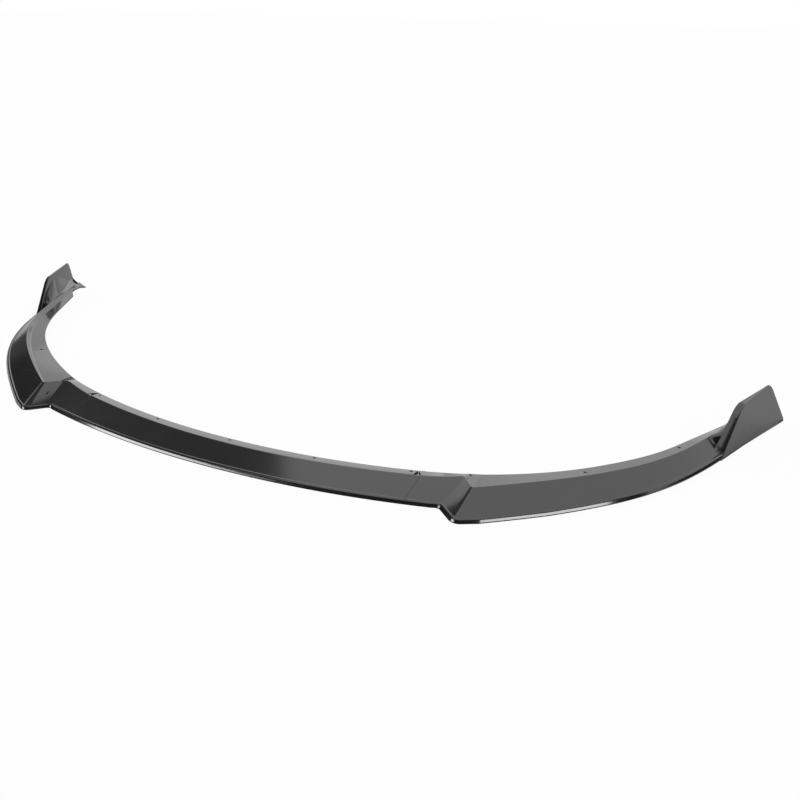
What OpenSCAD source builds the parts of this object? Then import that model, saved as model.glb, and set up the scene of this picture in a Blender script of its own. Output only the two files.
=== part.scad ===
// Front splitter lip for a saloon car, moulded in three pieces that are bolted end to end.
// Lengths are millimetres. The lip lies on its lower edge, its nose points to -Y and +X is to the
// right as seen from the front. Both end pieces come from the same rails, one of them mirrored.

/* [Centre section] */
// Half the length of the centre section, from the middle to each seam
seam_x = 370; // [340:1:392]
// How far the front edge of the centre curves back between the middle and the seam
front_bow = 39.4; // [30:0.2:48]
// How far the centre reaches in front of the line through the two noses
front_reach = 24; // [18:0.5:30]
// Depth of the sloping face in the middle, from the bead to the ridge
face_depth = 54.6; // [48:0.2:60]
// How much deeper the face gets at the seam
face_flare = 8.4; // [2:0.2:12]
// Height of the ridge above the floor
ridge_z = 20.8; // [18.5:0.1:24]
// Width of the mounting flange behind the ridge
flange_w = 22.5; // [19:0.5:28]
// Fall of the mounting flange from the ridge to its rear edge
flange_fall = 4.1; // [2:0.1:6]

/* [Step and nose] */
// Place of the step's inner corner across the lip
step_x = 428; // [420:1:434]
// Place of the step's inner corner behind the nose line
step_y = 31; // [26:0.5:36]
// Place of the nose across the lip
nose_x = 467; // [462:1:474]
// Height of the ridge at the nose
nose_z = 34; // [30:0.5:37]
// Rounding of the nose in plan
nose_round = 14; // [9:0.5:18]
// Rounding of the inner corner of the step in plan
step_round = 10; // [6:0.5:14]

/* [Arms] */
// Half the width over the arms' rear ends, at the middle of the bead
arm_x = 911; // [880:1:940]
// Depth from the nose line back to the arms' rear ends
arm_y = 606; // [580:1:630]
// Height of the ridge along the rear half of the arms
arm_z = 39; // [36:0.5:42]
// Lift of the lower edge half way along the arms
arch_z = 7.5; // [0:0.5:10]
// Width of the bevelled strip between the ridge and the flange
strip_w = 5.5; // [4.5:0.25:8]
// Drop of the bevelled strip
strip_drop = 11; // [8:0.5:13]

/* [Fins] */
// Height of the fins' top edge above the floor
fin_z = 91; // [70:1:110]
// Thickness of the fins at the front of their top edge
fin_top_w = 12; // [9:0.5:15]
// Height that the fins' hollow reaches down to
fin_hollow_z = 18; // [17:0.5:21]
// Thickness of the fins along their rear edge
fin_tail_w = 3; // [2.8:0.1:5]
// Length of the slot in the fins' inner face
slot_len = 40; // [20:1:44]
// Width of that slot
slot_w = 4; // [3:0.5:5]

/* [Moulding] */
// Wall of the three mouldings
wall = 2.5; // [2:0.1:3]
// Radius of the rounded bead along the lower edge
bead_r = 4.2; // [3.8:0.1:4.6]
// Gap between two mouldings at a seam, and between the lapped flanges
seam_gap = 0.3; // [0.2:0.05:0.6]
// Length of the end piece's flange that laps over the centre section
lap_len = 11; // [6:0.5:16]

/* [Fixings] */
// Diameter of the screw holes in the mounting flange
hole_d = 5.5; // [4.5:0.1:6.5]
// Pitch of the screw holes along the centre section
hole_pitch = 174.5; // [165:0.5:182]
// Thread diameter of the bolts that hold the mouldings together
bolt_d = 4; // [3:0.5:4]
// Distance between the two bolts at a seam
bolt_gap = 15; // [13:0.5:18]
// Clearance of a bolt in its holes
bolt_fit = 0.2; // [0.1:0.05:0.4]
// Thickness of the inner ribs that the bolts clamp
rib_t = 3; // [2.5:0.1:4]

/* [Hidden] */
black = [0.07, 0.07, 0.08];
steel = [0.62, 0.63, 0.65];

// Stations: along the centre section, the bridge, each rounded corner and the arm
center_steps = 48;
bridge_steps = 6;
corner_steps = 5;
arm_steps = 38;
notch_steps = 3;
tab_steps = 8;
// Half the width over which the bow and the flare are measured, and how they grow along it
bow_x = 370;
bow_power = 2.05;
ridge_power = 2.12;
// Depth of the bead's shelf, where the face ends, and of the return under the lip
foot_in = 9;
return_in = 9;
// Half the width of the rounded ridge, and how far its shoulders lie below its top
ridge_half = 1.3;
ridge_sink = 0.6;
// Share of the flange's width that the foot of the ridge takes
ridge_share = 0.14;
// Share of the arm that is curved in plan; the rest, beside the fin, is straight
curved = 0.76;
// Share of the arm where the ridge starts to sink to the rear tab, and how far it sinks
sink_start = 0.8;
sink = 11;
// Each rail of the arm in plan: start beside the nose, end of its curve, end of its straight
lip_plan = [[nose_x + 2, -8], [arm_x - 89, arm_y - 229], [arm_x, arm_y]];
ridge_plan = [[nose_x + 5, 62], [arm_x - 119.5, arm_y - 218], [arm_x - 35, arm_y - 16]];
flange_plan = [[nose_x - 1, 133], [arm_x - 149, arm_y - 217], [arm_x - 60, arm_y - 42]];
// Start angle and fullness of each rail's curve
lip_turn = [35, 1.61];
ridge_turn = [33, 1.46];
flange_turn = [25.3, 1.28];
step_top = [446.4, 97.2];
step_top_z = 28;
bridge_fall = 5.2;
// Heights of the flange's inner edge: at the nose, along the arm, and where it ends beside the fin
flange_z = [17.5, 26.2, 21];
// Where the full flange ends, as a share of the arm, and the width that is left in the notch there
flange_stop = 0.93;
notch_w = 2;
// Width of the tab behind the notch, and of its pointed tip, which starts at tip_start
tab_w = 9;
tip_w = 27;
tip_start = 0.965;

// How far the centre section's flange steps down under the end piece's, and where it starts to
lap_drop = wall + seam_gap;
joggle_x = seam_x - lap_len - 6;
joggle_len = 4.5;

// Fixings derived from the bolt
washer_d = 2.2 * bolt_d;
washer_t = 0.8;
head_w = 1.75 * bolt_d;
head_h = 0.7 * bolt_d;
nut_h = 0.8 * bolt_d;
clamp = 2 * rib_t + seam_gap;
bolt_z = 8.2;
rib_low = 3.2;

// Foremost and rearmost reach of the lip
front_y = -front_reach - bead_r;
rear_y = arm_y + 1;

function mix(a, b, t) = a + (b - a) * t;
function ramp(t) = let (u = min(1, max(0, t))) u * u * (3 - 2 * u);
function unit(v) = v / norm(v);
function flat(p) = [p[0], p[1]];

// A rail in plan: a conic from plan[0] to plan[1], then a straight on to plan[2].
// turn holds the angle at which the conic leaves plan[0], and its fullness.
function apex(a, b, d, e) =
    let (g = b - a) a + d * (g[0] * e[1] - g[1] * e[0]) / (d[0] * e[1] - d[1] * e[0]);
function conic(plan, turn, t) =
    let (a = plan[0], b = plan[1],
         c = apex(a, b, [cos(turn[0]), sin(turn[0])], unit(plan[2] - plan[1])),
         k0 = (1 - t) * (1 - t), k1 = 2 * turn[1] * t * (1 - t), k2 = t * t)
    (a * k0 + c * k1 + b * k2) / (k0 + k1 + k2);
function arm_rail(plan, turn, t) = t < curved ? conic(plan, turn, t / curved)
    : mix(plan[1], plan[2], (t - curved) / (1 - curved));

// Rounds the corner b between a and c over the length r, in a few steps
function rounded(a, b, c, r) =
    let (p = b + unit(a - b) * r, q = b + unit(c - b) * r)
    [for (i = [0 : corner_steps]) let (t = i / corner_steps)
        p * (1 - t) * (1 - t) + b * 2 * t * (1 - t) + q * t * t];

// Lower edge, ridge and flange of the centre section at the place x
function lip_y(x) = -front_reach + front_bow * pow(abs(x) / bow_x, bow_power);
function ridge_y(x) = lip_y(x) + face_depth + face_flare * pow(abs(x) / bow_x, ridge_power);
function rise(x) = pow(max(0, abs(x) - seam_x) / (step_top[0] - seam_x), 2);
function ridge_at(x) = ridge_z + (step_top_z - ridge_z) * rise(x);
function lip_point(x) = [x, lip_y(x), bead_r];
function ridge_point(x) = [x, ridge_y(x), ridge_at(x)];
function flange_point(x) = [x, ridge_y(x) + flange_w, ridge_at(x) - flange_fall - bridge_fall * rise(x)];

// The three rails of an arm: middle of the bead, ridge, and inner edge of the flange
function arch(y) = arch_z * sin(180 * min(1, max(0, (y - 85) / (arm_y - 105))));
function arm_lip(t) =
    let (p = arm_rail(lip_plan, lip_turn, t)) [p[0], p[1], bead_r + arch(p[1])];
function arm_ridge(t) =
    let (p = arm_rail(ridge_plan, ridge_turn, t))
    [p[0], p[1], mix(nose_z, arm_z, 1 - pow(1 - t, 3)) - sink * sunk(t)];
function sunk(t) = ramp((t - sink_start) / (1 - sink_start));
function arm_foot(t) =
    let (p = arm_ridge(t), q = arm_lip(t), e = unit(flat(q - p)),
         drop = strip_drop * mix(1.3, 1, ramp(t * 4)) * (1 - 0.9 * sunk(t)))
    [p[0] - e[0] * strip_w, p[1] - e[1] * strip_w, p[2] - drop];
function arm_flange(t) =
    let (full = arm_rail(flange_plan, flange_turn, t),
         p = arm_foot(t), e = unit(flat(arm_lip(t) - p)),
         w = notch_w + tab_w * ramp((t - flange_stop) / 0.04)
             + tip_w * pow(max(0, (t - tip_start) / (1 - tip_start)), 1.6),
         k = ramp((t - flange_stop) / 0.006),
         z = mix(mix(flange_z[0], flange_z[1], ramp(t * 2)), flange_z[2],
                 max(0, (t - curved) / (flange_stop - curved))))
    [mix(full[0], p[0] - e[0] * w, k), mix(full[1], p[1] - e[1] * w, k), mix(z, p[2] - 1.5, k)];

// Corners of the step on each rail: the inner one and the nose
step_low = [step_x, step_y, bead_r];
nose_low = [nose_x, -4, bead_r];
step_high = [step_top[0], step_top[1], step_top_z];
nose_high = [ridge_plan[0][0], ridge_plan[0][1], nose_z];
step_back = [447, 124, 18.8];
nose_back = [flange_plan[0][0], flange_plan[0][1], 17.5];

// A rail of an end piece: bridge, inner corner, nose, arm
function joined(bridge, inner, outer, arm, r_inner, r_outer) =
    let (n = len(bridge))
    concat(bridge, rounded(bridge[n - 1], inner, outer, r_inner),
           rounded(inner, outer, arm[1], r_outer), arm);
bridge_x = [for (i = [0 : bridge_steps])
    mix(seam_x + seam_gap / 2, step_x - 14, i / bridge_steps)];
bridge_top_x = [for (i = [0 : bridge_steps])
    mix(seam_x + seam_gap / 2, step_top[0] - 10, i / bridge_steps)];
arm_t = concat([for (i = [0 : arm_steps]) mix(0.03, flange_stop, i / arm_steps)],
               [for (i = [1 : notch_steps]) mix(flange_stop, 0.94, i / notch_steps)],
               [for (i = [1 : tab_steps]) mix(0.94, 1, i / tab_steps)]);
lip_rail = joined([for (x = bridge_x) lip_point(x)], step_low, nose_low,
                  [for (t = arm_t) arm_lip(t)], step_round, nose_round);
ridge_rail = joined([for (x = bridge_top_x) ridge_point(x)], step_high, nose_high,
                    [for (t = arm_t) arm_ridge(t)], 5, 7);
flange_rail = joined([for (x = bridge_top_x) flange_point(x)], step_back, nose_back,
                     [for (t = arm_t) arm_flange(t)], 3, 4);

// Unit vector in plan that points from the ridge out to the lip, square to the rail
function along(rail, i) =
    let (n = len(rail) - 1)
    unit(flat(rail[min(n, i + 1)] - rail[max(0, i - 1)]));
function outward(rail, i) = let (d = along(rail, i)) [d[1], -d[0]];

// One section of a moulding: pairs of an outer and an inner point, from flange edge to return.
// Each row holds the outer point and the way from it to the inner point, in walls (out, up).
function section(lip, ridge, foot, edge, out) =
    let (o = [out[0], out[1], 0], up = [0, 0, 1], r = bead_r,
         face = unit([lip[0] - ridge[0], lip[1] - ridge[1], 0]),
         rows = [
            [edge, 0.1, -1],
            [foot, 0.6, -1.05],
            [ridge - face * ridge_half - up * ridge_sink, 0.34, -1.32],
            [ridge, 0, -1.64],
            [ridge + face * ridge_half - up * ridge_sink, -0.34, -1.44],
            [lip - face * foot_in + up * r, -0.45, -0.95],
            [lip - face * 1 + up * (r + 0.2), -0.4, -1],
            [lip + o * 0.72 * r + up * 0.7 * r, -0.9, -0.6],
            [lip + o * r, -1, 0],
            [lip + o * 0.72 * r - up * 0.7 * r, -0.9, 0.6],
            [lip - up * r, -0.3, 1],
            [lip - face * return_in - up * r, 0, 1]])
    concat([for (s = rows) s[0]],
           [for (i = [len(rows) - 1 : -1 : 0]) let (s = rows[i]) s[0] + (face * s[1] + up * s[2]) * wall]);

// Skin over a list of sections: walls between them, and strips that close both ends
function grid_faces(n, m) = [for (i = [0 : n - 2], j = [0 : m - 1], k = [0, 1])
    let (a = i * m + j, b = i * m + (j + 1) % m, c = a + m, d = b + m)
    k == 0 ? [a, c, b] : [b, c, d]];
function cap_faces(at, m, flip) = [for (j = [0 : m / 2 - 2], k = [0, 1])
    let (a = at + j, b = at + j + 1, c = at + m - 1 - j, d = at + m - 2 - j,
         f = k == 0 ? [a, b, c] : [b, d, c])
    flip ? [f[2], f[1], f[0]] : f];
module skin(rings) {
    n = len(rings);
    m = len(rings[0]);
    polyhedron(points = [for (ring = rings, p = ring) p],
        faces = concat(grid_faces(n, m), cap_faces(0, m, false), cap_faces((n - 1) * m, m, true)));
}

// Sections of the centre section and of an end piece
function center_section_at(x) =
    let (slope = front_bow * bow_power * pow(abs(x) / bow_x, bow_power - 1) / bow_x * sign(x),
         ridge = ridge_point(x), edge = flange_point(x),
         drop = [0, 0, lap_drop * ramp((abs(x) - joggle_x) / joggle_len)])
    section(lip_point(x), ridge, mix(ridge, edge, ridge_share) - drop, edge - drop, unit([slope, -1]));
function end_section_at(i) =
    let (n = bridge_steps + 1, ridge = ridge_rail[i], edge = flange_rail[i], lip = lip_rail[i],
         strip = ramp((i - n) / (2 * corner_steps + 1)),
         e = unit(flat(lip - ridge)),
         low = [ridge[0] - e[0] * strip_w, ridge[1] - e[1] * strip_w, ridge[2] - strip_drop * 1.3],
         bridge_foot = mix(ridge, edge, ridge_share),
         t = arm_t[max(0, i - n - 2 * corner_steps - 2)],
         foot = i < n + 2 * corner_steps + 2 ? mix(bridge_foot, low, strip) : arm_foot(t))
    section(lip, ridge, foot, edge, outward(lip_rail, i));
end_sections = [for (i = [0 : len(lip_rail) - 1]) end_section_at(i)];

// Stations of the centre section, close together where its flange steps down at the seams
function seam_stations(side) =
    [for (x = [joggle_x + joggle_len / 2, joggle_x + joggle_len, seam_x - seam_gap / 2]) side * x];
center_x = concat([for (i = [2 : -1 : 0]) seam_stations(-1)[i]],
                  [for (i = [0 : center_steps]) mix(-joggle_x, joggle_x, i / center_steps)],
                  seam_stations(1));

// Tongue of the end piece's flange that laps over the centre section's stepped flange. It is thinner
// than the flange by lap_relief on both sides.
lap_relief = 0.15;
module lap_tongue() {
    root = seam_x + seam_gap / 2 + 2;
    crease = mix(ridge_point(root), flange_point(root), 2 * ridge_share);
    corners = [crease, flange_point(root), flange_point(seam_x - lap_len), crease - [4, 0, 0]];
    polyhedron(points = [for (z = [lap_relief, wall - lap_relief], c = corners) c - [0, 0, z]],
        faces = [[0, 1, 2], [0, 2, 3], [4, 6, 5], [4, 7, 6],
                 [0, 4, 5], [0, 5, 1], [1, 5, 6], [1, 6, 2], [2, 6, 7], [2, 7, 3], [3, 7, 4], [3, 4, 0]]);
}

// Screw holes through the mounting flange, along +Z
module flange_hole(p) {
    translate([p[0], p[1], p[2] - 12]) cylinder(d = hole_d, h = 24, $fn = 32);
}
function hole_point(x) = [x, flange_point(x)[1] - 7.5, flange_point(x)[2]];
bridge_hole = [447, 118, 20.5];
arm_holes = [[624, 204, 21], [754.5, 356.5, 26], [856, 551, 27]];

// Inner rib at a seam, square to X, which the bolts pass through
module seam_rib(x, thick) {
    back = ridge_y(seam_x);
    translate([x, 0, 0]) rotate([90, 0, 90]) linear_extrude(thick)
        polygon([[back - 26, rib_low], [back + 16, rib_low],
                 [back + 16, ridge_z - wall - 3.2], [back, ridge_z - 2.4], [back - 26, ridge_z - 8.6]]);
}
module seam_bores(d) {
    for (s = [-1, 1]) translate([seam_x, ridge_y(seam_x) - 4 + s * bolt_gap / 2, bolt_z])
        rotate([0, 90, 0]) cylinder(d = d, h = 40, center = true, $fn = 32);
}

// The fin's side outlines, each from its foot over the top to its rear foot, inset for the hollow.
// feet holds the heights of the inner side's feet, then the outer side's, front before rear.
function fin_side(foot, front, rear, tail, r) =
    concat([foot], rounded(foot, front, rear, r[0]), rounded(front, rear, tail, r[1]), [tail]);
fin_run = unit([48, 124, 0]);
fin_out_way = [fin_run[1], -fin_run[0], 0];
fin_foot_in = [arm_x - 98, arm_y - 214];
fin_foot_out = [arm_x - 85.5, arm_y - 222];
fin_front = [arm_x - 80, arm_y - 158];
fin_feet = [28, 30, 10, 6];
fin_round = [18, 14];
fin_slant = 4;
// Rear edge of the fin: its foot, its top, and the place on it at the height z
fin_rear_foot = [arm_x + 1.5, rear_y, fin_feet[3]];
fin_rear_top = [arm_x - 31, arm_y - 42, 91];
function fin_rear_at(z) =
    mix(fin_rear_foot, fin_rear_top, (z - fin_rear_foot[2]) / (fin_rear_top[2] - fin_rear_foot[2]));
function fin_in(d, feet) = fin_side(
    [fin_foot_in[0], fin_foot_in[1], feet[0]] + fin_run * 2.4 * d,
    [fin_front[0], fin_front[1], fin_z - d] + fin_run * 1.6 * d,
    fin_rear_at(fin_z - d) - fin_out_way * fin_tail_w - fin_run * 4 * d,
    fin_rear_at(feet[1]) - fin_out_way * fin_tail_w - fin_run * 6 * d, fin_round - [d, d]);
function fin_out(d, feet) = fin_side(
    [fin_foot_out[0], fin_foot_out[1], feet[2]] + fin_run * 2.4 * d,
    [fin_front[0] + fin_top_w, fin_front[1] + 3, fin_z - fin_slant - d] + fin_run * 1.6 * d,
    fin_rear_at(fin_z - fin_slant - d) - fin_run * 4 * d,
    fin_rear_at(feet[3]) - fin_run * 6 * d, fin_round - [d, d]);
module fin_solid(d, feet, side) {
    a = fin_in(d, feet);
    b = fin_out(d, feet);
    n = len(a);
    rings = [for (k = [side, 0.5, 1 - side]) [for (i = [0 : n - 1])
        mix(a[i], b[i], k) + (k == 0.5 && a[i][2] > 60 ? [0, 0, 1.2] : [0, 0, 0])]];
    polyhedron(points = [for (ring = rings, p = ring) p],
        faces = concat(
            [for (i = [1 : n - 2]) [0, i + 1, i]],
            [for (i = [1 : n - 2]) [2 * n, 2 * n + i, 2 * n + i + 1]],
            [for (g = [0, 1], i = [0 : n - 1], k = [0, 1])
                let (a = g * n + i, b = g * n + (i + 1) % n, c = a + n, d = b + n)
                k == 0 ? [a, b, c] : [b, d, c]]));
}

// Web at the rear of an end piece, from the fin's rear edge down to the tip of the tab. Both its ends
// are rooted inside the material they meet.
web_z = 40;
web_root = 1;
web_end = 0.995;
module rear_web() {
    top = fin_rear_at(web_z) - (fin_out_way + fin_run) * web_root;
    tip = mix(arm_flange(web_end), arm_foot(web_end), 0.06);
    low = tip[2] - 0.8 * wall;
    run = flat(tip) - flat(top);
    translate([top[0], top[1], 0]) rotate([90, 0, atan2(run[1], run[0])]) linear_extrude(wall)
        polygon(concat(
            [for (i = [0 : 8]) let (u = i / 8)
                [norm(run) * u * (0.5 + u * 0.5), mix(web_z, tip[2] - 0.2, 1 - pow(1 - u, 2))]],
            [[norm(run), low], [0, low]]));
}

// Slot through the inner wall of the fin, along its run and a little down to the rear
slot_at = [arm_x - 49.6, arm_y - 96.6, 41.3];
slot_tilt = 4.5;
slot_reach = 8;
module fin_slot() {
    translate(slot_at) rotate([0, 0, atan2(fin_run[1], fin_run[0])]) rotate([90, slot_tilt, 0])
        linear_extrude(slot_reach, center = true) for (side = [-1, 1]) {
            translate([side * (slot_len - slot_w) / 2, 0]) circle(d = slot_w, $fn = 24);
            square([slot_len - slot_w, slot_w], center = true);
        }
}

module center_section() {
    color(black) difference() {
        union() {
            skin([for (x = center_x) center_section_at(x)]);
            seam_rib(seam_x - seam_gap / 2 - rib_t, rib_t);
            seam_rib(-seam_x + seam_gap / 2, rib_t);
        }
        for (i = [-2 : 2]) flange_hole(hole_point(i * hole_pitch));
        seam_bores(bolt_d + 2 * bolt_fit);
        mirror([1, 0, 0]) seam_bores(bolt_d + 2 * bolt_fit);
    }
}
module end_piece() {
    color(black) difference() {
        union() {
            skin(end_sections);
            fin_solid(0, fin_feet, 0);
            rear_web();
            lap_tongue();
            seam_rib(seam_x + seam_gap / 2, rib_t);
        }
        fin_solid(wall, [for (i = [0 : 3]) fin_hollow_z], wall / fin_top_w);
        fin_slot();
        flange_hole(bridge_hole);
        for (p = arm_holes) flange_hole(p);
        seam_bores(bolt_d + 2 * bolt_fit);
    }
}
module right_end() { end_piece(); }
module left_end() { mirror([1, 0, 0]) end_piece(); }
module at_bolts() {
    for (side = [0, 1], s = [-1, 1]) mirror([side, 0, 0])
        translate([seam_x, ridge_y(seam_x) - 4 + s * bolt_gap / 2, bolt_z]) rotate([0, 90, 0]) children();
}
module seam_bolts() {
    color(steel) at_bolts() {
        translate([0, 0, -clamp / 2 - washer_t - head_h])
            cylinder(d = head_w / cos(30), h = head_h, $fn = 6);
        translate([0, 0, -clamp / 2 - washer_t])
            cylinder(d = bolt_d, h = clamp + 2 * washer_t + nut_h + 2, $fn = 32);
    }
}
module seam_washers() {
    color(steel) at_bolts() for (s = [-1, 1]) translate([0, 0, s * (clamp + washer_t) / 2]) difference() {
        cylinder(d = washer_d, h = washer_t, center = true, $fn = 32);
        cylinder(d = bolt_d + 2 * bolt_fit, h = 2 * washer_t, center = true, $fn = 32);
    }
}
module seam_nuts() {
    color(steel) at_bolts() translate([0, 0, clamp / 2 + washer_t]) difference() {
        cylinder(d = head_w / cos(30), h = nut_h, $fn = 6);
        translate([0, 0, -1]) cylinder(d = bolt_d + 0.1, h = nut_h + 2, $fn = 32);
    }
}

// The origin is under the middle of the whole lip, on the floor
module placed() { translate([0, -(front_y + rear_y) / 2, 0]) children(); }

placed() center_section();
placed() left_end();
placed() right_end();
placed() seam_bolts();
placed() seam_washers();
placed() seam_nuts();
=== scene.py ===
import math
import bmesh
import bpy
from mathutils import Matrix, Vector


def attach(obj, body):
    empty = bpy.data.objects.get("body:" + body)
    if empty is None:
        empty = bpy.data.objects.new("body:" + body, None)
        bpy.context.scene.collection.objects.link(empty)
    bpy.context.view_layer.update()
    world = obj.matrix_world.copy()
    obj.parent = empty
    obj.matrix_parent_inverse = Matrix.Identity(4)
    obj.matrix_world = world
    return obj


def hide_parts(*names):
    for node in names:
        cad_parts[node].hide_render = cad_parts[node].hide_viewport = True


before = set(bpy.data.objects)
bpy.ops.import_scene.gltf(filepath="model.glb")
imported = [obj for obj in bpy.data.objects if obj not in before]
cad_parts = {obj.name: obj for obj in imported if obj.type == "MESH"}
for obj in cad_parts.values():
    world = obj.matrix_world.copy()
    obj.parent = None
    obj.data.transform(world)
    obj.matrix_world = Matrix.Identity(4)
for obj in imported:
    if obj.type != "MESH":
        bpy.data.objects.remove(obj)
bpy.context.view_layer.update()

# Camera, in metres and in the frame of the lip
CAMERA_AT = Vector((0.9068, -1.4125, 0.8135))
CAMERA_AIM = Vector((0.2615, -0.0629, 0.0753))
CAMERA_LENS, SENSOR_W = 40.24, 36.0
CLIP_NEAR, CLIP_FAR = 0.05, 60

# The lip's sizes in millimetres. They follow its solids, but for the gap at the seams, which is a
# little wider here. The rails are laid out from the line through both noses, and ORIGIN_BACK is how
# far the shared frame's origin lies behind that line.
MM = 0.001
ORIGIN_BACK = 289.4
WALL, BEAD_R = 2.5, 4.2
SEAM_X, SEAM_GAP, LAP_LEN = 370, 0.5, 11
FRONT_BOW, FRONT_REACH, BOW_POWER = 39.4, 24, 2.05
FACE_DEPTH, FACE_FLARE, RIDGE_POWER = 54.6, 8.4, 2.12
RIDGE_Z, FLANGE_W, FLANGE_FALL, RIDGE_SHARE = 20.8, 22.5, 4.1, 0.14
BRIDGE_FALL = 5.2
STRIP_W, STRIP_DROP, NOSE_STRIP_DROP = 5.5, 11, 14.3
# Corners of the step and of the nose: at the bead, at the ridge and at the flange's inner edge
STEP_LOW, STEP_HIGH, STEP_BACK = (428, 31), (446.4, 97.2, 28), (447, 124, 18.8)
NOSE_LOW, NOSE_HIGH, NOSE_BACK = (467, -4), (472, 62, 34), (466, 133, 17.5)
# The rounding of the step and of the nose on the bead's rail, the ridge's and the flange's edge
LIP_ROUNDS, RIDGE_ROUNDS, EDGE_ROUNDS = (10, 14), (5, 7), (3, 4)
# An arm runs from beside the nose at 0 to the rear end at 1, and is curved up to CURVED
CURVED = 0.76
ARM_X, ARM_Y, ARM_Z = 911, 606, 39
LIP_PLAN = ((469, -8), (822, 377), (ARM_X, ARM_Y))
RIDGE_PLAN = (NOSE_HIGH[:2], (791.5, 388), (876, 590))
FLANGE_PLAN = (NOSE_BACK[:2], (762, 389), (851, 564))
# Each rail's heading at the nose, in degrees from +X, and how full its curve is
LIP_TURN, RIDGE_TURN, FLANGE_TURN = (35, 1.61), (33, 1.46), (25.3, 1.28)
# The bead arches over the floor by ARCH_Z, and the ridge sinks by SINK towards the rear
ARCH_Z, ARCH_FROM, ARCH_LEN = 7.5, 85, 501
SINK_START, SINK, SUNK_STRIP = 0.8, 11, 0.9
STRIP_SETTLED = 0.25
# Heights of the arm's flange beside the nose, between FLANGE_HIGH and CURVED, and where it stops
FLANGE_Z, FLANGE_HIGH = (NOSE_BACK[2], 26.2, 21), 0.5
# Behind the flange's stop come a notch, the tab and the tab's tip
FLANGE_STOP, NOTCH_W, NOTCH_RUN = 0.93, 2, 0.006
TAB_W, TAB_RUN, TAB_FALL = 9, 0.04, 1.5
TIP_W, TIP_START, TIP_POWER = 27, 0.965, 1.6
HOLE_D, HOLE_PITCH, HOLE_IN = 5.5, 174.5, 7.5
BRIDGE_HOLE = (447, 118, 20.5)
ARM_HOLES = ((624, 204, 21), (754.5, 356.5, 26), (856, 551, 27))
# The fin: its front edges and its rear edge, each from the foot to the top
FIN_IN_FRONT = (Vector((813, 392, 28)), Vector((831, 448, 90.5)))
FIN_OUT_FRONT = (Vector((826.5, 379, 5)), Vector((843, 449.5, 87)))
FIN_REAR = (Vector((913.5, 606.6, 5)), Vector((880, 564, 90.5)))
FIN_TAIL_W = 3
FIN_OUT_WAY = Vector((0.933, -0.361, 0))
FIN_TOP_Z, FIN_SLANT, FIN_ROUND = 90.8, 4, (18, 14)
# The slot through the fin's foot: its middle, length and width, and its slope down to the rear
SLOT_AT, SLOT_LEN, SLOT_W, SLOT_FALL = (861.4, 509.4, 41.3), 40, 4, 0.079


def mix(a, b, t):
    return a + (b - a) * t


def ramp(t):
    u = min(1, max(0, t))
    return u * u * (3 - 2 * u)


def plan(p):
    return Vector((p[0], p[1]))


def turned(d):
    return Vector((d[1], -d[0]))


# A rail in plan: a conic from the first point to the second, then a straight to the third
def rail_point(points, turn, t):
    a, b, c = (Vector(p) for p in points)
    if t >= CURVED:
        return b.lerp(c, (t - CURVED) / (1 - CURVED))
    t /= CURVED
    heading, fullness = math.radians(turn[0]), turn[1]
    start, end = Vector((math.cos(heading), math.sin(heading))), (c - b).normalized()
    gap = b - a
    apex = a + start * ((gap.x * end.y - gap.y * end.x) / (start.x * end.y - start.y * end.x))
    k0, k1, k2 = (1 - t) ** 2, 2 * fullness * t * (1 - t), t * t
    return (a * k0 + apex * k1 + b * k2) / (k0 + k1 + k2)


# The corner at b between a and c, rounded from a distance r before it to r behind it
def rounded(a, b, c, r, steps):
    p, q = b + (a - b).normalized() * r, b + (c - b).normalized() * r
    return [p.lerp(b, i / steps).lerp(b.lerp(q, i / steps), i / steps) for i in range(steps + 1)]


# Rails of the centre section and of the bridge beside it, at the place x
def lip_y(x):
    return -FRONT_REACH + FRONT_BOW * (abs(x) / SEAM_X) ** BOW_POWER


def ridge_y(x):
    return lip_y(x) + FACE_DEPTH + FACE_FLARE * (abs(x) / SEAM_X) ** RIDGE_POWER


def rise(x):
    return (max(0, abs(x) - SEAM_X) / (STEP_HIGH[0] - SEAM_X)) ** 2


def centre_lip(x):
    return Vector((x, lip_y(x), BEAD_R))


def centre_ridge(x):
    return Vector((x, ridge_y(x), RIDGE_Z + (STEP_HIGH[2] - RIDGE_Z) * rise(x)))


def centre_edge(x):
    p = centre_ridge(x)
    return Vector((x, p.y + FLANGE_W, p.z - FLANGE_FALL - BRIDGE_FALL * rise(x)))


# Rails of an arm
def sunk(t):
    return ramp((t - SINK_START) / (1 - SINK_START))


def arm_lip(t):
    p = rail_point(LIP_PLAN, LIP_TURN, t)
    lift = ARCH_Z * math.sin(math.pi * min(1, max(0, (p.y - ARCH_FROM) / ARCH_LEN)))
    return Vector((p.x, p.y, BEAD_R + lift))


def arm_ridge(t):
    p = rail_point(RIDGE_PLAN, RIDGE_TURN, t)
    return Vector((p.x, p.y, mix(NOSE_HIGH[2], ARM_Z, 1 - (1 - t) ** 3) - SINK * sunk(t)))


def arm_foot(t):
    p = arm_ridge(t)
    e = (plan(arm_lip(t)) - plan(p)).normalized()
    drop = mix(NOSE_STRIP_DROP, STRIP_DROP, ramp(t / STRIP_SETTLED)) * (1 - SUNK_STRIP * sunk(t))
    return Vector((p.x - e.x * STRIP_W, p.y - e.y * STRIP_W, p.z - drop))


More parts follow.
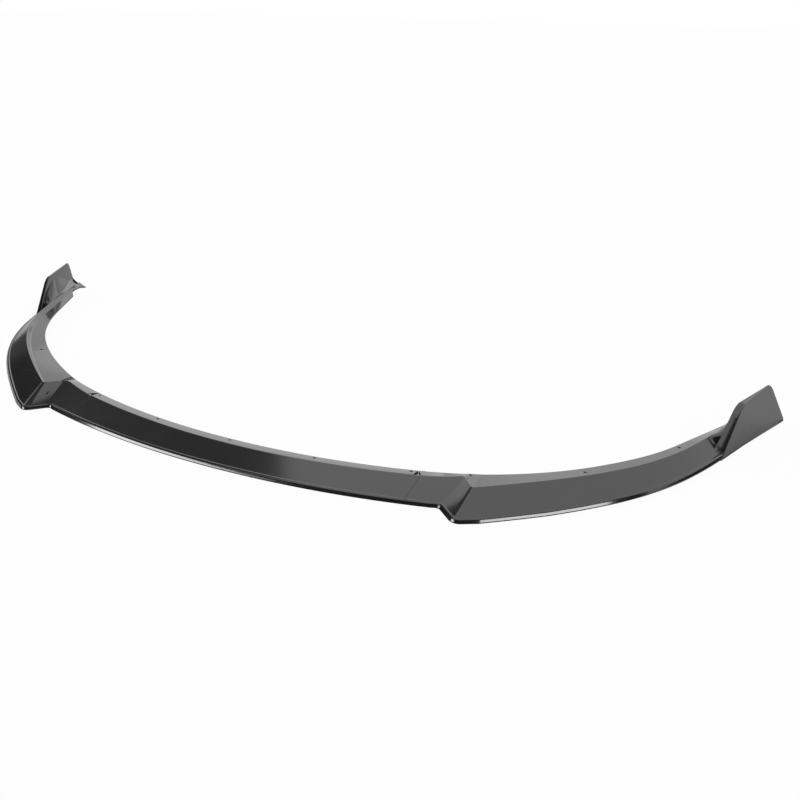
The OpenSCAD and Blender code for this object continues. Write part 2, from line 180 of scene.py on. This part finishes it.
def arm_edge(t):
    full = rail_point(FLANGE_PLAN, FLANGE_TURN, t)
    p = arm_foot(t)
    e = (plan(arm_lip(t)) - plan(p)).normalized()
    w = NOTCH_W + TAB_W * ramp((t - FLANGE_STOP) / TAB_RUN)
    w += TIP_W * max(0, (t - TIP_START) / (1 - TIP_START)) ** TIP_POWER
    z = mix(FLANGE_Z[0], FLANGE_Z[1], ramp(t / FLANGE_HIGH))
    z = mix(z, FLANGE_Z[2], max(0, (t - CURVED) / (FLANGE_STOP - CURVED)))
    tab = Vector((p.x - e.x * w, p.y - e.y * w, p.z - TAB_FALL))
    return Vector((full.x, full.y, z)).lerp(tab, ramp((t - FLANGE_STOP) / NOTCH_RUN))


# Rounds the corners of a section; each corner holds its place and the length of its rounding, which
# takes at most SIDE_SHARE of a side
SIDE_SHARE = 0.48


def soften(corners, steps):
    out = [corners[0][0]]
    for (a, _), (b, r), (c, _) in zip(corners, corners[1:], corners[2:]):
        r = min(r, SIDE_SHARE * (a - b).length, SIDE_SHARE * (c - b).length)
        out += rounded(a, b, c, r, steps) if r > 0 else [b]
    return out + [corners[-1][0]]


# Moves each corner of a section inwards by d, square to its two sides
SHARPEST, LEAST_ROUND = 0.35, 0.3


def inset(corners, d):
    out = []
    for i, (p, r) in enumerate(corners):
        before = (p - corners[i - 1][0]).normalized() if i else (corners[1][0] - p).normalized()
        after = (corners[i + 1][0] - p).normalized() if i + 1 < len(corners) else before
        n = (turned(before) + turned(after)).normalized()
        bulges = before.x * after.y > before.y * after.x
        moved = p - n * (d / max(SHARPEST, n.dot(turned(before))))
        out.append((moved, max(LEAST_ROUND, r - d if bulges else r + d)))
    return out


# One closed section of a moulding, through its rails: the bead's middle, the ridge, the foot of the
# bevelled strip and the flange's inner edge. Along the section, u is 0 over the middle of the bead,
# grows over the ridge and the strip to the flange's edge, and is negative outside the bead's middle.
# A groove parts the sloping face from the bead, and under the bead the wall returns inwards.
GROOVE_U, GROOVE_Z, GROOVE_R = 4.4, 3.2, 0.8
EDGE_DROP, EDGE_R, FOOT_R, RIDGE_R, HOLLOW_R = 1, 0.8, 2.5, 2.6, 2
BEAD = ((2.4, 4.2, 0.8), (-0.8, 3.1, 1.8), (-3.4, -2.2, 1.2), (-4.2, -3.2, 0.5), (-3, -BEAD_R, 0.8))
RETURN_IN = 9
BEAD_STEPS, CORNER_STEPS = 14, 6


def section(lip, ridge, foot, edge, out):
    stops = [plan(lip), plan(ridge), plan(foot), plan(edge)]
    breaks = [0]
    for a, b in zip(stops, stops[1:]):
        breaks.append(breaks[-1] + (b - a).length)

    def at(u, z):
        return Vector((u, z))

    def place(p):
        u, z = p
        if u < 0:
            q = stops[0] - out * u
        elif u >= breaks[3]:
            q = stops[3] + (stops[3] - stops[2]).normalized() * (u - breaks[3])
        else:
            k = next(i for i in range(3) if u <= breaks[i + 1] or i == 2)
            q = stops[k].lerp(stops[k + 1], (u - breaks[k]) / (breaks[k + 1] - breaks[k]))
        return Vector((q.x, q.y, z))

    top = [(at(breaks[3], edge.z - EDGE_DROP), 0), (at(breaks[3], edge.z), EDGE_R),
           (at(breaks[2], foot.z), FOOT_R), (at(breaks[1], ridge.z), RIDGE_R),
           (at(GROOVE_U, lip.z + GROOVE_Z), GROOVE_R)]
    bead = [(at(u, lip.z + z), r) for u, z, r in BEAD]
    outer = soften(top + bead + [(at(RETURN_IN, lip.z - BEAD_R), 0)], CORNER_STEPS)
    inner = [at(RETURN_IN, lip.z - BEAD_R + WALL)]
    for i in range(BEAD_STEPS + 1):
        a = math.radians(mix(-90, 90, i / BEAD_STEPS))
        inner.append(at(-(BEAD_R - WALL) * math.cos(a), lip.z + (BEAD_R - WALL) * math.sin(a)))
    low = inset(top[1:], WALL)[:3] + [(at(RETURN_IN, lip.z + BEAD_R - WALL), HOLLOW_R)]
    return [place(p) for p in outer + inner + soften(low, CORNER_STEPS)[::-1]]


def link(obj):
    bpy.context.scene.collection.objects.link(obj)
    return obj


# Skin over closed sections with the same number of points, closed at both ends
def skin(name, rings):
    n, m = len(rings), len(rings[0])
    points = [(p[0] * MM, (p[1] - ORIGIN_BACK) * MM, p[2] * MM) for ring in rings for p in ring]
    faces = []
    for i in range(n - 1):
        for j in range(m):
            a, b = i * m + j, i * m + (j + 1) % m
            faces.append((a, a + m, b + m, b))
    faces += [tuple(reversed(range(m))), tuple(range((n - 1) * m, n * m))]
    mesh = bpy.data.meshes.new(name)
    mesh.from_pydata(points, [], faces)
    mesh.validate()
    return link(bpy.data.objects.new(name, mesh))


# Way in plan, square to the lip's rail, that points away from the ridge
def outward(rail, i):
    d = (plan(rail[min(len(rail) - 1, i + 1)]) - plan(rail[max(0, i - 1)])).normalized()
    return turned(d)


# The centre section; its flange steps down at both ends, under the end pieces' flanges
JOGGLE_LEN, JOGGLE_CLEAR = 0.5, 0.7
JOGGLE_X = SEAM_X - LAP_LEN - JOGGLE_CLEAR
CENTRE_STEPS = 230


def centre_section():
    last = SEAM_X - SEAM_GAP / 2
    places = [mix(-last, last, i / CENTRE_STEPS) for i in range(CENTRE_STEPS + 1)]
    places += [side * (JOGGLE_X + k * JOGGLE_LEN) for side in (-1, 1) for k in (0, 0.5, 1)]
    rings = []
    for x in sorted(places):
        slope = math.copysign(FRONT_BOW * BOW_POWER * (abs(x) / SEAM_X) ** (BOW_POWER - 1) / SEAM_X, x)
        ridge, edge = centre_ridge(x), centre_edge(x)
        drop = Vector((0, 0, (WALL + SEAM_GAP) * ramp((abs(x) - JOGGLE_X) / JOGGLE_LEN)))
        out = Vector((slope, -1)).normalized()
        foot = ridge.lerp(edge, RIDGE_SHARE) - drop
        rings.append(section(centre_lip(x), ridge, foot, edge - drop, out))
    piece = skin("centre_shell", rings)
    edges = [centre_edge(i * HOLE_PITCH) for i in (-2, -1, 0, 1, 2)]
    cut(piece, [screw_hole((p.x, p.y - HOLE_IN, p.z)) for p in edges])
    return piece


# An end piece: its rails run over the bridge, the step, the nose and the arm. The bridge's straight
# stops BRIDGE_SHORT before the step, at the bead and at the ridge, and the arm starts at ARM_FROM.
BRIDGE_STEPS, TURN_STEPS, ARM_STEPS, REAR_STEPS = 20, 18, 200, 60
BRIDGE_SHORT, ARM_FROM, ARM_AHEAD, REAR_POWER = (14, 10), 0.03, 0.054, 1.4


def joined(bridge, step, nose, ahead, arm, rounds):
    step, nose = Vector(step), Vector(nose)
    return (bridge + rounded(bridge[-1], step, nose, rounds[0], TURN_STEPS)
            + rounded(step, nose, ahead, rounds[1], TURN_STEPS) + arm)


def end_rings():
    first, steps = SEAM_X + SEAM_GAP / 2, range(BRIDGE_STEPS + 1)
    low_x = [mix(first, STEP_LOW[0] - BRIDGE_SHORT[0], i / BRIDGE_STEPS) for i in steps]
    top_x = [mix(first, STEP_HIGH[0] - BRIDGE_SHORT[1], i / BRIDGE_STEPS) for i in steps]
    arm_t = [mix(ARM_FROM, FLANGE_STOP, i / ARM_STEPS) for i in range(ARM_STEPS + 1)]
    arm_t += [mix(FLANGE_STOP, 1, (i / REAR_STEPS) ** REAR_POWER) for i in range(1, REAR_STEPS + 1)]
    lips = joined([centre_lip(x) for x in low_x], (*STEP_LOW, BEAD_R), (*NOSE_LOW, BEAD_R),
                  arm_lip(ARM_AHEAD), [arm_lip(t) for t in arm_t], LIP_ROUNDS)
    ridges = joined([centre_ridge(x) for x in top_x], STEP_HIGH, NOSE_HIGH,
                    arm_ridge(ARM_AHEAD), [arm_ridge(t) for t in arm_t], RIDGE_ROUNDS)
    edges = joined([centre_edge(x) for x in top_x], STEP_BACK, NOSE_BACK,
                   arm_edge(ARM_AHEAD), [arm_edge(t) for t in arm_t], EDGE_ROUNDS)
    bend = BRIDGE_STEPS + 1
    arm_at = bend + 2 * (TURN_STEPS + 1)
    rings = []
    for i, (lip, ridge, edge) in enumerate(zip(lips, ridges, edges)):
        e = (plan(lip) - plan(ridge)).normalized()
        low = Vector((ridge.x - e.x * STRIP_W, ridge.y - e.y * STRIP_W, ridge.z - NOSE_STRIP_DROP))
        foot = ridge.lerp(edge, RIDGE_SHARE).lerp(low, ramp((i - bend) / (2 * TURN_STEPS + 1)))
        if i >= arm_at:
            foot = arm_foot(arm_t[i - arm_at])
        rings.append(section(lip, ridge, foot, edge, outward(lips, i)))
    return rings


# Tongue of the end piece's flange that laps over the centre section's, just under the flange's top
LAP_ROOT, LAP_SKEW, LAP_TOP = 2, 4, 0.02


def lap_tongue():
    root = SEAM_X + LAP_ROOT
    crease = centre_ridge(root).lerp(centre_edge(root), 2 * RIDGE_SHARE)
    tip = centre_edge(SEAM_X - LAP_LEN)
    corners = [crease, centre_edge(root), tip, crease - Vector((LAP_SKEW, 0, 0))]
    rings = [[c - Vector((0, 0, depth)) for c in corners] for depth in (WALL, LAP_TOP)]
    return skin("lap_tongue", rings)


# The fin, swept from its front edge at 0 to its rear edge at 1
FIN_LENGTH, EDGE_ROUND, CROWN_STEPS = 175, 2.6, 8
FRONT_STEPS, SIDE_STEPS, REAR_CORNER_STEPS = 14, 40, 10
SLANT_W = 12
# Heights in the fin: its outer foot, the start of its outer side, the end of its upright inner side,
# and the inner side's foot
FIN_FOOT_Z, FIN_SIDE_Z, FIN_UPRIGHT_Z, FIN_LOW_Z = 5, 20, 45, 30
# The leaning face runs from the fin's inner side down to the ridge. It fills out within LEAN_FULL of
# the front edge and starts LEAN_BELOW under the fin's top, but nearer the ridge at both ends: LEAN_FRONT
# and LEAN_REAR above its crest. It is nearly straight at LEAN_TURN and hollow at the rear.
LEAN_FULL, LEAN_TURN, LEAN_STEPS = 0.05, 0.3, 10
LEAN_BELOW, LEAN_FRONT, LEAN_REAR = 12, 2, 10
LEAN_STRAIGHT, LEAN_HOLLOW = 1.05, 2.4
# How far the leaning face ends under the ridge's crest and short of it, how far it starts under the
# arm's surface at the front edge, and how deep its back is buried
CREST_UNDER, CREST_SHORT, SKIN_UNDER, BURIED = 0.5, 1.5, 0.3, 1.2


# Place on an edge of the fin at the height z
def on_edge(edge, z):
    return edge[0].lerp(edge[1], (z - edge[0].z) / (edge[1].z - edge[0].z))


def fin_inner(v, z):
    rear = on_edge(FIN_REAR, z) - FIN_OUT_WAY * FIN_TAIL_W
    return on_edge(FIN_IN_FRONT, z).lerp(rear, v)


def fin_outer(v, z):
    return on_edge(FIN_OUT_FRONT, z).lerp(on_edge(FIN_REAR, z), v)


# How far the fin's top has dropped at a distance s from its edge, for a corner of radius r
def corner_drop(s, r):
    return r * (1 - math.sqrt(min(1, s / r))) ** 2


def fin_top(v):
    front, rear = v * FIN_LENGTH, (1 - v) * FIN_LENGTH
    return FIN_TOP_Z - corner_drop(front, FIN_ROUND[0]) - corner_drop(rear, FIN_ROUND[1])


# Height of the arm's upper surface, in the section at t, at a distance inwards from the bead's middle
def arm_top(t, inwards):
    lip, ridge, foot, edge = arm_lip(t), arm_ridge(t), arm_foot(t), arm_edge(t)
    depth = (plan(ridge) - plan(lip)).length
    stops = [(GROOVE_U, lip.z + GROOVE_Z), (depth, ridge.z), (depth + STRIP_W, foot.z),
             (depth + STRIP_W + (plan(edge) - plan(foot)).length, edge.z)]
    for (a, za), (b, zb) in zip(stops, stops[1:]):
        if inwards < b:
            break
    return mix(za, zb, min(1, (inwards - a) / (b - a)))


# The fin's outer side, crown and upright inner side, down to the height low. A corner's first number
# is its distance out from the inner side.
def fin_crown(v, low):
    top = fin_top(v)
    width = (fin_outer(v, top) - fin_inner(v, top)).length
    shoulder = top - FIN_SLANT * min(1, width / SLANT_W)
    corners = [(Vector((width, FIN_SIDE_Z)), 0), (Vector((width, shoulder)), EDGE_ROUND),
               (Vector((0, top)), EDGE_ROUND), (Vector((0, low)), 0)]
    inside = EDGE_ROUND - math.sqrt(max(0, EDGE_ROUND ** 2 - max(0, EDGE_ROUND - v * FIN_LENGTH) ** 2))
    points = []
    for w, z in soften(corners, CROWN_STEPS):
        share = min(1 - inside / width, max(inside / width, w / width))
        points.append(fin_inner(v, z).lerp(fin_outer(v, z), share))
    return points


# One closed section of the fin: outer side, crown, inner side, leaning face and the back of that face
def fin_ring(v):
    t = mix(CURVED, 1, v)
    crest = arm_ridge(t).z - CREST_UNDER
    rearward = ramp((v - LEAN_TURN) / (1 - LEAN_TURN))
    start = mix(crest + LEAN_FRONT, fin_top(v) - LEAN_BELOW, ramp(v / LEAN_TURN))
    start = mix(start, crest + LEAN_REAR, rearward)
    across = plan(arm_ridge(t)) - plan(arm_lip(t))
    way = across.normalized()
    low, high = plan(fin_inner(v, FIN_LOW_Z)), plan(fin_inner(v, start))
    inwards = (low - plan(arm_lip(t))).dot(way)
    reach = across.length - inwards - CREST_SHORT
    foot = low + way * reach
    lean, under = [], []
    for k in range(LEAN_STEPS + 1):
        u = k / LEAN_STEPS
        surface = arm_top(t, inwards + reach * u)
        swept = mix(crest, start, (1 - u) ** mix(LEAN_STRAIGHT, LEAN_HOLLOW, rearward))
        z = mix(surface - SKIN_UNDER, swept, ramp(v / LEAN_FULL))
        p, q = high.lerp(foot, u), low.lerp(foot, u)
        if k == 0:
            p, q = fin_inner(v, z), fin_inner(v, surface - BURIED)
        lean.append(Vector((p.x, p.y, z)))
        under.append(Vector((q.x, q.y, surface - BURIED)))
    return [fin_outer(v, FIN_FOOT_Z)] + fin_crown(v, max(FIN_UPRIGHT_Z, start + 1)) + lean + under[::-1]


def fin():
    start, end = FIN_ROUND[0] / FIN_LENGTH, FIN_ROUND[1] / FIN_LENGTH
    stops = [start * (i / FRONT_STEPS) ** 2 for i in range(FRONT_STEPS)]
    stops += [mix(start, 1 - end, i / SIDE_STEPS) for i in range(SIDE_STEPS + 1)]
    stops += [1 - end * (i / REAR_CORNER_STEPS) ** 2 for i in range(REAR_CORNER_STEPS - 1, -1, -1)]
    return skin("fin", [fin_ring(v) for v in stops])


# The hollow inside the fin, open to the arm's hollow below. A wall takes at most MOST_WALL of the
# fin's width.
HOLLOW_Z, HOLLOW_START, HOLLOW_END, HOLLOW_STEPS = 18, 0.06, 0.8, 30
MOST_WALL = 0.45


def fin_hollow():
    rings = []
    for i in range(HOLLOW_STEPS + 1):
        v = mix(HOLLOW_START, HOLLOW_END, i / HOLLOW_STEPS)
        top = fin_top(v) - WALL
        ring = []
        for outer, z in ((True, HOLLOW_Z), (True, top - FIN_SLANT), (False, top), (False, HOLLOW_Z)):
            a, b = fin_inner(v, z), fin_outer(v, z)
            share = min(MOST_WALL, WALL / (b - a).length)
            ring.append(a.lerp(b, 1 - share if outer else share))
        rings.append(ring)
    return skin("cutter", rings)


# Web at the rear, from the fin's rear edge down to the tip of the tab
WEB_Z, WEB_END, WEB_STEPS = 40, 0.985, 24
WEB_ROUND, WEB_UNDER, WEB_DEPTH = 0.6, 0.1, 0.8 * WALL


def rear_web():
    top, tip = on_edge(FIN_REAR, WEB_Z) - FIN_OUT_WAY, arm_edge(1)
    side = turned((plan(tip) - plan(top)).normalized()) * (WALL / 2)
    low = tip.z - WEB_DEPTH
    rings = []
    for i in range(WEB_STEPS + 1):
        u = WEB_END * i / WEB_STEPS
        p = plan(top).lerp(plan(tip), u * (1 + u) / 2)
        z = mix(top.z, tip.z - WEB_UNDER, 1 - (1 - u) ** 2)
        ring = [(-1, low), (-1, z - WEB_ROUND), (-0.5, z), (0.5, z), (1, z - WEB_ROUND), (1, low)]
        rings.append([Vector((p.x + side.x * k, p.y + side.y * k, h)) for k, h in ring])
    return skin("rear_web", rings)


# Cutters for a screw hole, which stands on end, and for the slot, which lies along the fin
ROUND_SIDES = 32
HOLE_REACH, SLOT_REACH = 12, (-4, 5)


def screw_hole(centre):
    turns = [2 * math.pi * i / ROUND_SIDES for i in range(ROUND_SIDES)]
    ring = [Vector(centre) + Vector((math.cos(a), math.sin(a), 0)) * HOLE_D / 2 for a in turns]
    return skin("cutter", [[p + Vector((0, 0, h)) for p in ring] for h in (-HOLE_REACH, HOLE_REACH)])


def slot_cutter():
    run = Vector((-FIN_OUT_WAY.y, FIN_OUT_WAY.x, -SLOT_FALL)).normalized()
    up = run.cross(FIN_OUT_WAY)
    straight = (SLOT_LEN - SLOT_W) / 2
    ring = []
    for i in range(ROUND_SIDES):
        a = 2 * math.pi * (i + 0.5) / ROUND_SIDES
        along = math.copysign(straight, math.cos(a)) + math.cos(a) * SLOT_W / 2
        ring.append(Vector(SLOT_AT) + run * along + up * math.sin(a) * SLOT_W / 2)
    return skin("cutter", [[p + FIN_OUT_WAY * h for p in ring] for h in SLOT_REACH])


def face_outwards(obj):
    bm = bmesh.new()
    bm.from_mesh(obj.data)
    bmesh.ops.recalc_face_normals(bm, faces=bm.faces)
    bm.to_mesh(obj.data)
    bm.free()


def boolean(piece, other, operation):
    face_outwards(other)
    step = piece.modifiers.new("step", "BOOLEAN")
    step.operation, step.solver, step.object = operation, "MANIFOLD", other
    mesh = bpy.data.meshes.new_from_object(piece.evaluated_get(bpy.context.evaluated_depsgraph_get()))
    piece.modifiers.clear()
    piece.data = mesh
    bpy.data.objects.remove(other)


def cut(piece, cutters):
    face_outwards(piece)
    for cutter in cutters:
        boolean(piece, cutter, "DIFFERENCE")


def right_end():
    piece, upright = skin("right_end_shell", end_rings()), fin()
    face_outwards(piece)
    face_outwards(upright)
    boolean(piece, lap_tongue(), "UNION")
    boolean(upright, rear_web(), "UNION")
    boolean(piece, upright, "UNION")
    cut(piece, [fin_hollow(), slot_cutter()] + [screw_hole(p) for p in (BRIDGE_HOLE, *ARM_HOLES)])
    return piece


def mirrored(name, piece):
    mesh = piece.data.copy()
    mesh.transform(Matrix.Scale(-1, 4, (1, 0, 0)))
    mesh.flip_normals()
    return link(bpy.data.objects.new(name, mesh))


def new_material(name):
    material = bpy.data.materials.new(name)
    material.use_nodes = True
    nodes, links = material.node_tree.nodes, material.node_tree.links
    return material, nodes, links, nodes["Principled BSDF"]


# Cloudy tint, shared by both finishes: noise over the surface picks a colour between two. The colour
# is Dark where the noise is under From and Light where it is over To, and Cloud is the noise itself.
def cloudy_tint():
    group = bpy.data.node_groups.new("cloudy_tint", "ShaderNodeTree")
    for name, kind in (("Scale", "Float"), ("Detail", "Float"), ("From", "Float"), ("To", "Float"),
                       ("Dark", "Color"), ("Light", "Color")):
        group.interface.new_socket(name=name, in_out="INPUT", socket_type="NodeSocket" + kind)
    for name, kind in (("Color", "Color"), ("Cloud", "Float")):
        group.interface.new_socket(name=name, in_out="OUTPUT", socket_type="NodeSocket" + kind)
    nodes, links = group.nodes, group.links
    given, result = nodes.new("NodeGroupInput"), nodes.new("NodeGroupOutput")
    where, noise = nodes.new("ShaderNodeTexCoord"), nodes.new("ShaderNodeTexNoise")
    share, colour = nodes.new("ShaderNodeMapRange"), nodes.new("ShaderNodeMixRGB")
    links.new(where.outputs["Object"], noise.inputs["Vector"])
    for name in ("Scale", "Detail"):
        links.new(given.outputs[name], noise.inputs[name])
    links.new(noise.outputs["Fac"], share.inputs["Value"])
    links.new(given.outputs["From"], share.inputs["From Min"])
    links.new(given.outputs["To"], share.inputs["From Max"])
    links.new(share.outputs["Result"], colour.inputs["Fac"])
    links.new(given.outputs["Dark"], colour.inputs["Color1"])
    links.new(given.outputs["Light"], colour.inputs["Color2"])
    links.new(colour.outputs["Color"], result.inputs["Color"])
    links.new(noise.outputs["Fac"], result.inputs["Cloud"])
    return group


def place_tint(nodes, group, values):
    node = nodes.new("ShaderNodeGroup")
    node.node_tree = group
    for name, value in values.items():
        node.inputs[name].default_value = value
    return node


# Moulded gloss black plastic: faint flow marks in its colour and gloss, and a fine orange peel
def gloss_black(tint_group):
    material, nodes, links, shader = new_material("gloss_black_plastic")
    tint = place_tint(nodes, tint_group, {
        "Scale": 9, "Detail": 5, "From": 0.35, "To": 0.7,
        "Dark": (0.0085, 0.0085, 0.009, 1), "Light": (0.013, 0.013, 0.0135, 1)})
    rough = nodes.new("ShaderNodeMapRange")
    rough.inputs["To Min"].default_value = 0.09
    rough.inputs["To Max"].default_value = 0.15
    where = nodes.new("ShaderNodeTexCoord")
    peel = nodes.new("ShaderNodeTexNoise")
    peel.inputs["Scale"].default_value = 420
    peel.inputs["Detail"].default_value = 2
    bump = nodes.new("ShaderNodeBump")
    bump.inputs["Strength"].default_value = 0.05
    bump.inputs["Distance"].default_value = 0.0002
    links.new(tint.outputs["Color"], shader.inputs["Base Color"])
    links.new(tint.outputs["Cloud"], rough.inputs["Value"])
    links.new(rough.outputs["Result"], shader.inputs["Roughness"])
    links.new(where.outputs["Object"], peel.inputs["Vector"])
    links.new(peel.outputs["Fac"], bump.inputs["Height"])
    links.new(bump.outputs["Normal"], shader.inputs["Normal"])
    shader.inputs["IOR"].default_value = 1.85
    return material


# Bright zinc plating on the seam fasteners
def zinc_steel(tint_group):
    material, nodes, links, shader = new_material("zinc_plated_steel")
    tint = place_tint(nodes, tint_group, {
        "Scale": 900, "Detail": 2, "From": 0, "To": 1,
        "Dark": (0.42, 0.43, 0.45, 1), "Light": (0.66, 0.67, 0.69, 1)})
    links.new(tint.outputs["Color"], shader.inputs["Base Color"])
    shader.inputs["Metallic"].default_value = 1
    shader.inputs["Roughness"].default_value = 0.32
    return material


# Matt material of the studio, which may glow white
def matt(name, colour, glow=0.0):
    material, nodes, links, shader = new_material(name)
    shader.inputs["Base Color"].default_value = (*colour, 1)
    shader.inputs["Roughness"].default_value = 1
    shader.inputs["Specular IOR Level"].default_value = 0
    shader.inputs["Emission Color"].default_value = (1, 1, 1, 1)
    shader.inputs["Emission Strength"].default_value = glow
    return material, nodes, links, shader


def make_camera():
    data = bpy.data.cameras.new("camera")
    data.lens, data.sensor_width = CAMERA_LENS, SENSOR_W
    data.clip_start, data.clip_end = CLIP_NEAR, CLIP_FAR
    camera = link(bpy.data.objects.new("camera", data))
    camera.location = CAMERA_AT
    camera.rotation_euler = (CAMERA_AIM - CAMERA_AT).to_track_quat("-Z", "Y").to_euler()
    bpy.context.scene.camera = camera


def rectangle(name, width, height):
    mesh = bpy.data.meshes.new(name)
    w, h = width / 2, height / 2
    mesh.from_pydata([(-w, -h, 0), (w, -h, 0), (w, h, 0), (-w, h, 0)], [], [(0, 1, 2, 3)])
    return mesh


# White floor that takes the lip's shadow: FLOOR_GLOW of what the camera sees of it is plain white
FLOOR_SIZE, FLOOR_UNDER, FLOOR_GREY, FLOOR_GLOW = 24, 0.0005, 0.72, 0.96


def make_floor():
    mesh = rectangle("floor", FLOOR_SIZE, FLOOR_SIZE)
    floor = link(bpy.data.objects.new("floor", mesh))
    floor.location.z = -FLOOR_UNDER
    material, nodes, links, shader = matt("white_floor", (FLOOR_GREY, FLOOR_GREY, FLOOR_GREY))
    glow = nodes.new("ShaderNodeEmission")
    path = nodes.new("ShaderNodeLightPath")
    share = nodes.new("ShaderNodeMath")
    share.operation = "MULTIPLY"
    share.inputs[1].default_value = FLOOR_GLOW
    both = nodes.new("ShaderNodeMixShader")
    links.new(path.outputs["Is Camera Ray"], share.inputs[0])
    links.new(share.outputs[0], both.inputs["Fac"])
    links.new(shader.outputs["BSDF"], both.inputs[1])
    links.new(glow.outputs["Emission"], both.inputs[2])
    links.new(both.outputs["Shader"], nodes["Material Output"].inputs["Surface"])
    mesh.materials.append(material)


def make_world():
    world = bpy.data.worlds.new("studio")
    bpy.context.scene.world = world
    world.use_nodes = True
    background = world.node_tree.nodes["Background"]
    background.inputs["Color"].default_value = (1, 1, 1, 1)
    background.inputs["Strength"].default_value = 1


# A panel of the studio shows only in the gloss: the camera doesn't see it, and it gives no shade
def studio_panel(name, mesh, colour, glow):
    panel = link(bpy.data.objects.new(name, mesh))
    mesh.materials.append(matt(name, colour, glow)[0])
    panel.visible_camera = False
    panel.visible_diffuse = False
    panel.visible_shadow = False
    return panel


# A flat panel, turned to face one way
def board(name, centre, width, height, facing, colour, glow=0.0):
    panel = studio_panel(name, rectangle(name, width, height), colour, glow)
    panel.location = centre
    panel.rotation_euler = Vector(facing).to_track_quat("Z", "Y").to_euler()


# A part of a large sphere round the lip, between two azimuths and two elevations in degrees, where
# azimuth 0 looks along +Y and grows towards +X
ACROSS_STEPS, UP_STEPS = 24, 12


def sky_panel(name, azimuths, elevations, radius, colour, glow=0.0):
    points, faces = [], []
    for k in range(UP_STEPS + 1):
        el = math.radians(mix(*elevations, k / UP_STEPS))
        for i in range(ACROSS_STEPS + 1):
            az = math.radians(mix(*azimuths, i / ACROSS_STEPS))
            points.append((radius * math.sin(az) * math.cos(el), radius * math.cos(az) * math.cos(el),
                           radius * math.sin(el)))
    for k in range(UP_STEPS):
        for i in range(ACROSS_STEPS):
            a = k * (ACROSS_STEPS + 1) + i
            b = a + ACROSS_STEPS + 1
            faces.append((a, a + 1, b + 1, b))
    mesh = bpy.data.meshes.new(name)
    mesh.from_pydata(points, [], faces)
    studio_panel(name, mesh, colour, glow)


# The studio as the gloss plastic mirrors it: a bright room, a near board beside the left arm, a dark
# wall to the left that comes in by shades, flags in front and to the right, a brighter wall behind,
# and two lamps whose images run along the beads
DARK, BLACK_CARD, WHITE = (0.02, 0.02, 0.02), (0, 0, 0), (1, 1, 1)
BOARD_AT, BOARD_W, BOARD_H = (-1.0, -0.41, 1.395), 2.28, 1.89
WALL_SHADES, SHADES_FROM, SHADE_W = (0.45, 0.25, 0.12, 0.05), -54, 6
LAMP_FAR, FLAG_FAR, BACK_FAR = 8, 9, 10
BOARD_GLOW, BACK_GLOW, LAMP_GLOW = 0.12, 1.35, 6
FOOT, WALL_TOP = -1, 28


def make_studio():
    board("left_flag", BOARD_AT, BOARD_W, BOARD_H, (1, 0, 0), DARK, BOARD_GLOW)
    for k, shade in enumerate(WALL_SHADES):
        right = SHADES_FROM - SHADE_W * k
        azimuths = (right - SHADE_W, right)
        sky_panel(f"left_wall_{k}", azimuths, (FOOT, WALL_TOP), FLAG_FAR, BLACK_CARD, shade)
    sky_panel("left_wall", (-150, -78), (FOOT, WALL_TOP), FLAG_FAR, DARK)
    sky_panel("front_flag", (94, 210), (FOOT, 42), FLAG_FAR, DARK)
    sky_panel("right_flag", (55, 94), (FOOT, 9), FLAG_FAR, DARK)
    sky_panel("back_wall", (-46, 40), (FOOT, 34), BACK_FAR, BLACK_CARD, BACK_GLOW)
    sky_panel("left_lamp", (-160, -122), (2, 15), LAMP_FAR, WHITE, LAMP_GLOW)
    sky_panel("right_lamp", (108, 134), (12, 20), LAMP_FAR, WHITE, LAMP_GLOW)


make_camera()
tint_group = cloudy_tint()
black, zinc = gloss_black(tint_group), zinc_steel(tint_group)
for name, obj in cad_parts.items():
    obj.data.materials.clear()
    obj.data.materials.append(zinc if name.startswith("seam_") else black)

# The three mouldings, finer than their solids and with rounded bends
SHARP = math.radians(38)
end = right_end()
for node, piece in (("center_section", centre_section()), ("right_end", end),
                    ("left_end", mirrored("left_end_shell", end))):
    piece.data.materials.clear()
    piece.data.materials.append(black)
    piece.data.shade_smooth()
    piece.data.set_sharp_from_angle(angle=SHARP)
    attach(piece, "root")
    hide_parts(node)

make_floor()
make_world()
make_studio()
bpy.context.scene.view_settings.view_transform = "Standard"
